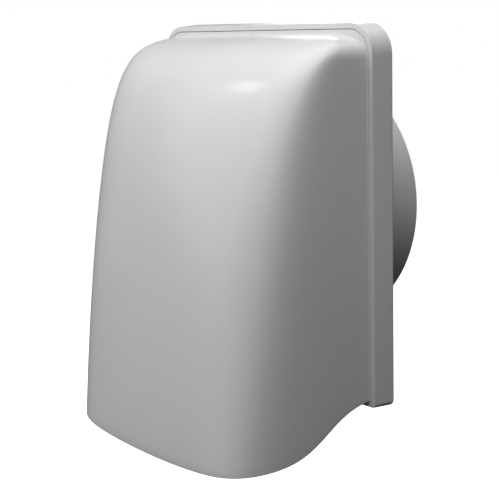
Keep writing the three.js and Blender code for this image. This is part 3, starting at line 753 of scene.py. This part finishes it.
def make_screws(material):
    """Four screws through the spigot's flange, and two upwards through the guard."""
    for i, (x, z) in enumerate(screw_places(), 1):
        screw = screw_mesh(SCREW_LENGTH["spigot"])
        screw = moved(screw, Matrix.Translation((x, FLANGE["front"] - GAP, z)))
        node = f"spigot_screw_{i}"
        piece(f"{node}_fine", screw, "base", material, [node])
    for name, side in (("left", -1), ("right", 1)):
        place = (side * GUARD_SCREW["x"], GUARD_SCREW["y"], GUARD["top"] - GUARD["thickness"] - GAP)
        upright = Matrix.Translation(place) @ Matrix.Rotation(math.pi / 2, 4, "X")
        screw = moved(screw_mesh(SCREW_LENGTH["guard"]), upright)
        node = f"guard_screw_{name}"
        piece(f"{node}_fine", screw, "cowl", material, [node])


# ---------- Pieces of the flap ----------


def block(low, high, edge=0.3):
    """A box with softened edges from its lowest to its highest corner."""
    outline = [(low[0], low[2]), (high[0], low[2]), (high[0], high[2]), (low[0], high[2])]
    return slab([softened(outline, edge, 2)], high[1], low[1], edge)


def make_flap(material):
    """The round flap with its rim, hub and crossed ribs, and two arms that hold the rod."""
    back = -2 * GAP - SEAL["thickness"]
    front = back - FLAP["thickness"]
    middle = (back + front) / 2
    outer = FLAP["radius"] - FLAP_RIM["inset"]
    inner = outer - FLAP_RIM["width"]
    high, hub = front - FLAP_RIM["height"], FLAP_RIM["hub"]
    profile = [(0, back), (FLAP["radius"], back), (FLAP["radius"], front), (outer, front), (outer, high)]
    profile += [(inner, high), (inner, front), (hub, front), (hub, high), (0, high)]
    radii = [0, 0.5, 0.2, 0, 0.5, 0.5, 0.4, 0.4, 0.5, 0]
    flap = lathe(softened(profile, radii), FINE_ROUND)
    length, rib = inner + DEEP_SINK, FLAP_RIM["rib"]
    face = high + FLAP_RIM["lower"]
    ribs = [block((-length, face, -rib), (length, middle, rib))]
    ribs.append(block((-rib, face, -length), (rib, middle, length)))
    flap = joined(flap, *ribs)
    rise = FLAP["rise"]
    for side in (-1, 1):
        near, far = side * KNUCKLE["x"] - KNUCKLE["half"], side * KNUCKLE["x"] + KNUCKLE["half"]
        arm = block((near, front, KNUCKLE["arm_bottom"]), (far, back, rise + FLAP["tail"]), 0.35)
        knuckle = bar_x(near, far, KNUCKLE["radius"], middle, rise, 0.4)
        bore = bar_x(near - 1, far + 1, ROD["bore"], middle, rise, 0)
        flap = cut(joined(flap, arm, knuckle), bore)
    flap = on_seat(flap)
    return piece("flap_disc", flap, "flap", material, ["damper_flap"])


def make_rod(material):
    """The plain rod through both bushes and both arms, with softened ends."""
    y, z = hinge_axis()
    low, high = node_box("hinge_rod")
    rod = bar_x(low.x, high.x, ROD["radius"], y, z, 0.35, 32)
    return piece("hinge_rod_fine", rod, "flap", material, ["hinge_rod"])


def make_clips(material):
    """Spring clips: a ring that grips the rod between its lobes, with a narrow opening at the bottom."""
    y, z = hinge_axis()
    first, whole, steps = CLIP_TURN["start"], CLIP_TURN["whole"], CLIP_TURN["steps"]
    outline = []
    for k in range(steps + 1):
        turn = math.radians(first + whole * k / steps)
        outline.append((CLIP["radius"] * math.cos(turn), CLIP["radius"] * math.sin(turn)))
    for k in range(steps + 1):
        turn = math.radians(first + whole - whole * k / steps)
        lobe = CLIP["lobe"] * math.sin(1.5 * (turn - math.pi / 2)) ** 2
        inner = ROD["radius"] + 0.1 + lobe
        outline.append((inner * math.cos(turn), inner * math.sin(turn)))
    start = EAR["x"] + EAR["half"] + BUSH["overhang"] + CLIP["clearance"]
    across = Matrix(((0, -1, 0, 0), (1, 0, 0, y), (0, 0, 1, z), (0, 0, 0, 1)))
    for name, side in (("left", -1), ("right", 1)):
        clip = moved(slab([outline], 0, -CLIP["thickness"], 0.12), across)
        clip = moved(clip, Matrix.Translation((start if side > 0 else -start - CLIP["thickness"], 0, 0)))
        piece(f"rod_clip_{name}_fine", clip, "flap", material, [f"rod_clip_{name}"])


# ---------- Materials ----------


class Paint:
    """A material with one Principled shader, and short calls that add nodes to it."""

    def __init__(self, name):
        self.material = bpy.data.materials.new(name)
        self.material.use_nodes = True
        self.tree = self.material.node_tree
        self.shader = self.tree.nodes["Principled BSDF"]
        self.place = self.add("ShaderNodeTexCoord").outputs["Object"]

    def add(self, kind, **settings):
        """A new node of this kind, with its settings."""
        node = self.tree.nodes.new(kind)
        for key, value in settings.items():
            setattr(node, key, value)
        return node

    def link(self, output, socket):
        self.tree.links.new(output, socket)

    def noise(self, scale, detail=3.0, roughness=0.5, stretch=None):
        """Noise with that many waves a metre, from 0 to 1."""
        node = self.add("ShaderNodeTexNoise")
        node.inputs["Scale"].default_value = scale
        node.inputs["Detail"].default_value = detail
        node.inputs["Roughness"].default_value = roughness
        place = self.place
        if stretch:
            mapping = self.add("ShaderNodeMapping")
            mapping.inputs["Scale"].default_value = stretch
            self.link(place, mapping.inputs["Vector"])
            place = mapping.outputs["Vector"]
        self.link(place, node.inputs["Vector"])
        return node.outputs["Fac"]

    def between(self, value, low, high, start=0.0, end=1.0):
        """A value carried from start..end to low..high, and kept inside."""
        node = self.add("ShaderNodeMapRange")
        node.inputs["From Min"].default_value = start
        node.inputs["From Max"].default_value = end
        node.inputs["To Min"].default_value = low
        node.inputs["To Max"].default_value = high
        self.link(value, node.inputs["Value"])
        return node.outputs["Result"]

    def colour(self, value, dark, light, start=0.35, end=0.65):
        """A colour between dark and light, chosen by a value."""
        ramp = self.add("ShaderNodeValToRGB").color_ramp
        node = ramp.id_data.nodes[-1]
        ramp.elements[0].position, ramp.elements[1].position = start, end
        ramp.elements[0].color, ramp.elements[1].color = (*dark, 1), (*light, 1)
        self.link(value, node.inputs["Fac"])
        return node.outputs["Color"]

    def mixed(self, factor, first, second):
        """The first colour, turning into the second as the factor goes from 0 to 1."""
        node = self.add("ShaderNodeMix", data_type="RGBA")
        self.link(factor, node.inputs["Factor"])
        self.link(first, node.inputs["A"])
        self.link(second, node.inputs["B"])
        return node.outputs["Result"]

    def worn(self, start, end):
        """High on edges and corners that stand out."""
        pointiness = self.add("ShaderNodeNewGeometry").outputs["Pointiness"]
        return self.between(pointiness, 0, 1, start, end)

    def bump(self, layers):
        """Layers of (height value, distance in metres, strength), one over the other."""
        normal = None
        for value, distance, strength in layers:
            node = self.add("ShaderNodeBump")
            node.inputs["Distance"].default_value = distance
            node.inputs["Strength"].default_value = strength
            self.link(value, node.inputs["Height"])
            if normal:
                self.link(normal, node.inputs["Normal"])
            normal = node.outputs["Normal"]
        self.link(normal, self.shader.inputs["Normal"])

    def set(self, name, value):
        self.shader.inputs[name].default_value = value


def grey(value):
    return (value, value, value)


SHELL_GREY, SHELL_ROUGHNESS = 0.7, (0.2, 0.26)
INNER_GREY, INNER_ROUGHNESS = 0.64, (0.38, 0.5)
SHEEN = 0.35  # specular level of the moulded pieces


def moulded_plastic(name, tone, roughness):
    """Satin moulded plastic in a grey tone, with its lowest and highest roughness: a slow
    cloudiness, a fine grain, and faintly dulled edges."""
    paint = Paint(name)
    cloud = paint.noise(14, 2, 0.4)
    base = paint.colour(cloud, grey(tone * 0.985), grey(tone * 1.015))
    speck = paint.noise(2600, 2, 0.6)
    scuffed = paint.colour(speck, grey(tone * 0.95), grey(tone * 1.03), 0.3, 0.7)
    edge = paint.worn(0.52, 0.62)
    paint.link(paint.mixed(edge, base, scuffed), paint.shader.inputs["Base Color"])
    haze = paint.noise(55, 4, 0.55)
    paint.link(paint.between(haze, *roughness, 0.3, 0.7), paint.shader.inputs["Roughness"])
    grain, ripple = paint.noise(3200, 2, 0.5), paint.noise(38, 1, 0.3)
    paint.bump([(ripple, 0.0004, 0.12), (grain, 0.00001, 0.25)])
    paint.set("Specular IOR Level", SHEEN)
    return paint.material


def seal_rubber():
    """Dark rubber with a little dust on it."""
    paint = Paint("seal rubber")
    dust = paint.noise(420, 4, 0.6)
    paint.link(paint.colour(dust, grey(0.028), grey(0.05), 0.4, 0.75), paint.shader.inputs["Base Color"])
    paint.link(paint.between(paint.noise(160), 0.55, 0.8), paint.shader.inputs["Roughness"])
    paint.bump([(paint.noise(900, 3), 0.00004, 0.3)])
    return paint.material


def gasket_foam():
    """Dark foam with open cells."""
    paint = Paint("gasket foam")
    cells = paint.add("ShaderNodeTexVoronoi")
    cells.inputs["Scale"].default_value = 1500
    paint.link(paint.place, cells.inputs["Vector"])
    deep = paint.colour(cells.outputs["Distance"], grey(0.09), grey(0.03), 0.1, 0.8)
    paint.link(deep, paint.shader.inputs["Base Color"])
    paint.link(paint.between(paint.noise(300), 0.85, 1.0), paint.shader.inputs["Roughness"])
    paint.bump([(cells.outputs["Distance"], 0.0002, 0.8), (paint.noise(700, 3), 0.0001, 0.4)])
    return paint.material


def bush_nylon():
    """Natural nylon, which lets a little light in."""
    paint = Paint("bush nylon")
    cream = paint.colour(paint.noise(500, 2), (0.74, 0.72, 0.66), (0.82, 0.8, 0.74))
    paint.link(cream, paint.shader.inputs["Base Color"])
    paint.link(paint.between(paint.noise(900), 0.35, 0.55), paint.shader.inputs["Roughness"])
    paint.bump([(paint.noise(2500), 0.00001, 0.3)])
    paint.set("Subsurface Weight", 0.15)
    paint.set("Subsurface Scale", 0.001)
    return paint.material


def stainless_steel():
    """Steel with a fine brushed grain along X."""
    paint = Paint("stainless steel")
    brushed = paint.noise(900, 3, 0.6, (0.04, 1, 1))
    paint.link(paint.colour(brushed, grey(0.5), grey(0.66), 0.3, 0.7), paint.shader.inputs["Base Color"])
    paint.link(paint.between(brushed, 0.22, 0.42, 0.3, 0.7), paint.shader.inputs["Roughness"])
    paint.bump([(brushed, 0.00001, 0.4)])
    paint.set("Metallic", 1)
    return paint.material


# ---------- Studio ----------

FLOOR_SIZE = 12  # metres
FLOOR_DROP = 0.3  # metres below the lip: the part hangs on its wall, clear of the floor
FLOOR_GREY = 0.9
WHITE = 1.0

# Each soft light: azimuth from straight ahead towards +X and elevation in degrees, distance from the
# point that the lights face and width in metres, and power in watts.
LIGHTS = {
    "overhead": (80, 82, 0.8, 1.4, 6.4),
    "front": (20, 50, 1, 1.6, 7.2),
    "left": (-30, 25, 1, 1, 2.6),
    "low left": (-30, 5, 1.7, 1.6, 1.2),
    "streak": (-50, 42, 1.7, 0.1, 1.4),
    "behind": (150, 40, 1.2, 1, 0.9),
    "low right": (120, -8, 1.4, 0.6, 0.08),
    "behind left": (215, 20, 1.7, 0.9, 8),
}
LIT_POINT = Vector((0, -0.045, 0))
AMBIENT = 0.02


def make_floor():
    """A plain white floor well below the part, which throws no light of its own onto it."""
    low = CAD_BOX[0][2] - FLOOR_DROP
    bpy.ops.mesh.primitive_plane_add(size=FLOOR_SIZE, location=(0, 0, low))
    floor = bpy.context.object
    floor.name = "floor"
    material = bpy.data.materials.new("floor white")
    material.use_nodes = True
    shader = material.node_tree.nodes["Principled BSDF"]
    shader.inputs["Base Color"].default_value = (*grey(FLOOR_GREY), 1)
    shader.inputs["Emission Color"].default_value = (*grey(WHITE), 1)
    shader.inputs["Emission Strength"].default_value = 1
    shader.inputs["Roughness"].default_value = 0.9
    floor.data.materials.append(material)
    floor.visible_diffuse = floor.visible_glossy = False


def make_world():
    """White behind the part, and a weak even light all round it."""
    world = bpy.data.worlds.new("studio")
    bpy.context.scene.world = world
    world.use_nodes = True
    nodes, links = world.node_tree.nodes, world.node_tree.links
    nodes.clear()
    seen, fill = nodes.new("ShaderNodeBackground"), nodes.new("ShaderNodeBackground")
    seen.inputs["Color"].default_value = (*grey(WHITE), 1)
    fill.inputs["Color"].default_value = (*grey(AMBIENT), 1)
    path, mix = nodes.new("ShaderNodeLightPath"), nodes.new("ShaderNodeMixShader")
    links.new(path.outputs["Is Camera Ray"], mix.inputs["Fac"])
    links.new(fill.outputs["Background"], mix.inputs[1])
    links.new(seen.outputs["Background"], mix.inputs[2])
    links.new(mix.outputs["Shader"], nodes.new("ShaderNodeOutputWorld").inputs["Surface"])


def direction(azimuth, elevation):
    """From the part towards a place round it: azimuth 0 is straight ahead of it, 90 is +X."""
    a, e = math.radians(azimuth), math.radians(elevation)
    return Vector((math.sin(a) * math.cos(e), -math.cos(a) * math.cos(e), math.sin(e)))


def make_lights():
    """Round soft lights, all facing the same point."""
    for name, (azimuth, elevation, distance, width, power) in LIGHTS.items():
        data = bpy.data.lights.new(name, "AREA")
        data.shape, data.size, data.energy = "DISK", width, power
        light = bpy.data.objects.new(name, data)
        towards = direction(azimuth, elevation)
        light.location = LIT_POINT + towards * distance
        light.rotation_mode = "QUATERNION"
        light.rotation_quaternion = towards.to_track_quat("Z", "Y")
        bpy.context.collection.objects.link(light)


# The camera: its azimuth towards +X, elevation and roll in degrees, and its lens and sensor in
# millimetres. Its place is so many millimetres to its right, up and back from the origin, before it rolls.
CAMERA = {"azimuth": 51.224, "elevation": 10.723, "roll": -1.57, "lens": 86.33, "sensor": 36}
CAMERA_PLACE = (-19.769, -28.559, 716.9)
CAMERA_REACH = (0.01, 100)  # the nearest and farthest things it sees, in metres


def make_camera():
    """A camera that looks level along its own direction, rolled about it."""
    back = direction(CAMERA["azimuth"], CAMERA["elevation"])
    right = (-back).cross(Vector((0, 0, 1))).normalized()
    up = right.cross(-back)
    across, rise, distance = CAMERA_PLACE
    place = (right * across + up * rise + back * distance) * MM
    roll = math.radians(CAMERA["roll"])
    turned_right = right * math.cos(roll) + up * math.sin(roll)
    turned_up = up * math.cos(roll) - right * math.sin(roll)
    data = bpy.data.cameras.new("camera")
    data.lens, data.sensor_width = CAMERA["lens"], CAMERA["sensor"]
    data.clip_start, data.clip_end = CAMERA_REACH
    camera = bpy.data.objects.new("camera", data)
    turn = Matrix((turned_right, turned_up, back)).transposed()
    camera.matrix_world = Matrix.Translation(place) @ turn.to_4x4()
    bpy.context.collection.objects.link(camera)
    bpy.context.scene.camera = camera


# ---------- The scene ----------


def make_part():
    """Every fine piece, with the materials they share."""
    shell = moulded_plastic("shell plastic", SHELL_GREY, SHELL_ROUGHNESS)
    inner = moulded_plastic("inner plastic", INNER_GREY, INNER_ROUGHNESS)
    rubber, foam, nylon, steel = seal_rubber(), gasket_foam(), bush_nylon(), stainless_steel()
    make_hood(shell)
    make_guard(inner)
    make_frame(shell)
    make_gasket(foam)
    make_spigot(shell)
    make_seal(rubber)
    make_bushes(nylon)
    make_bumpers(rubber)
    make_flap(inner)
    make_rod(steel)
    make_clips(steel)
    make_screws(steel)


bpy.context.scene.view_settings.view_transform = "Standard"
make_camera()
make_world()
make_lights()
make_floor()
make_part()
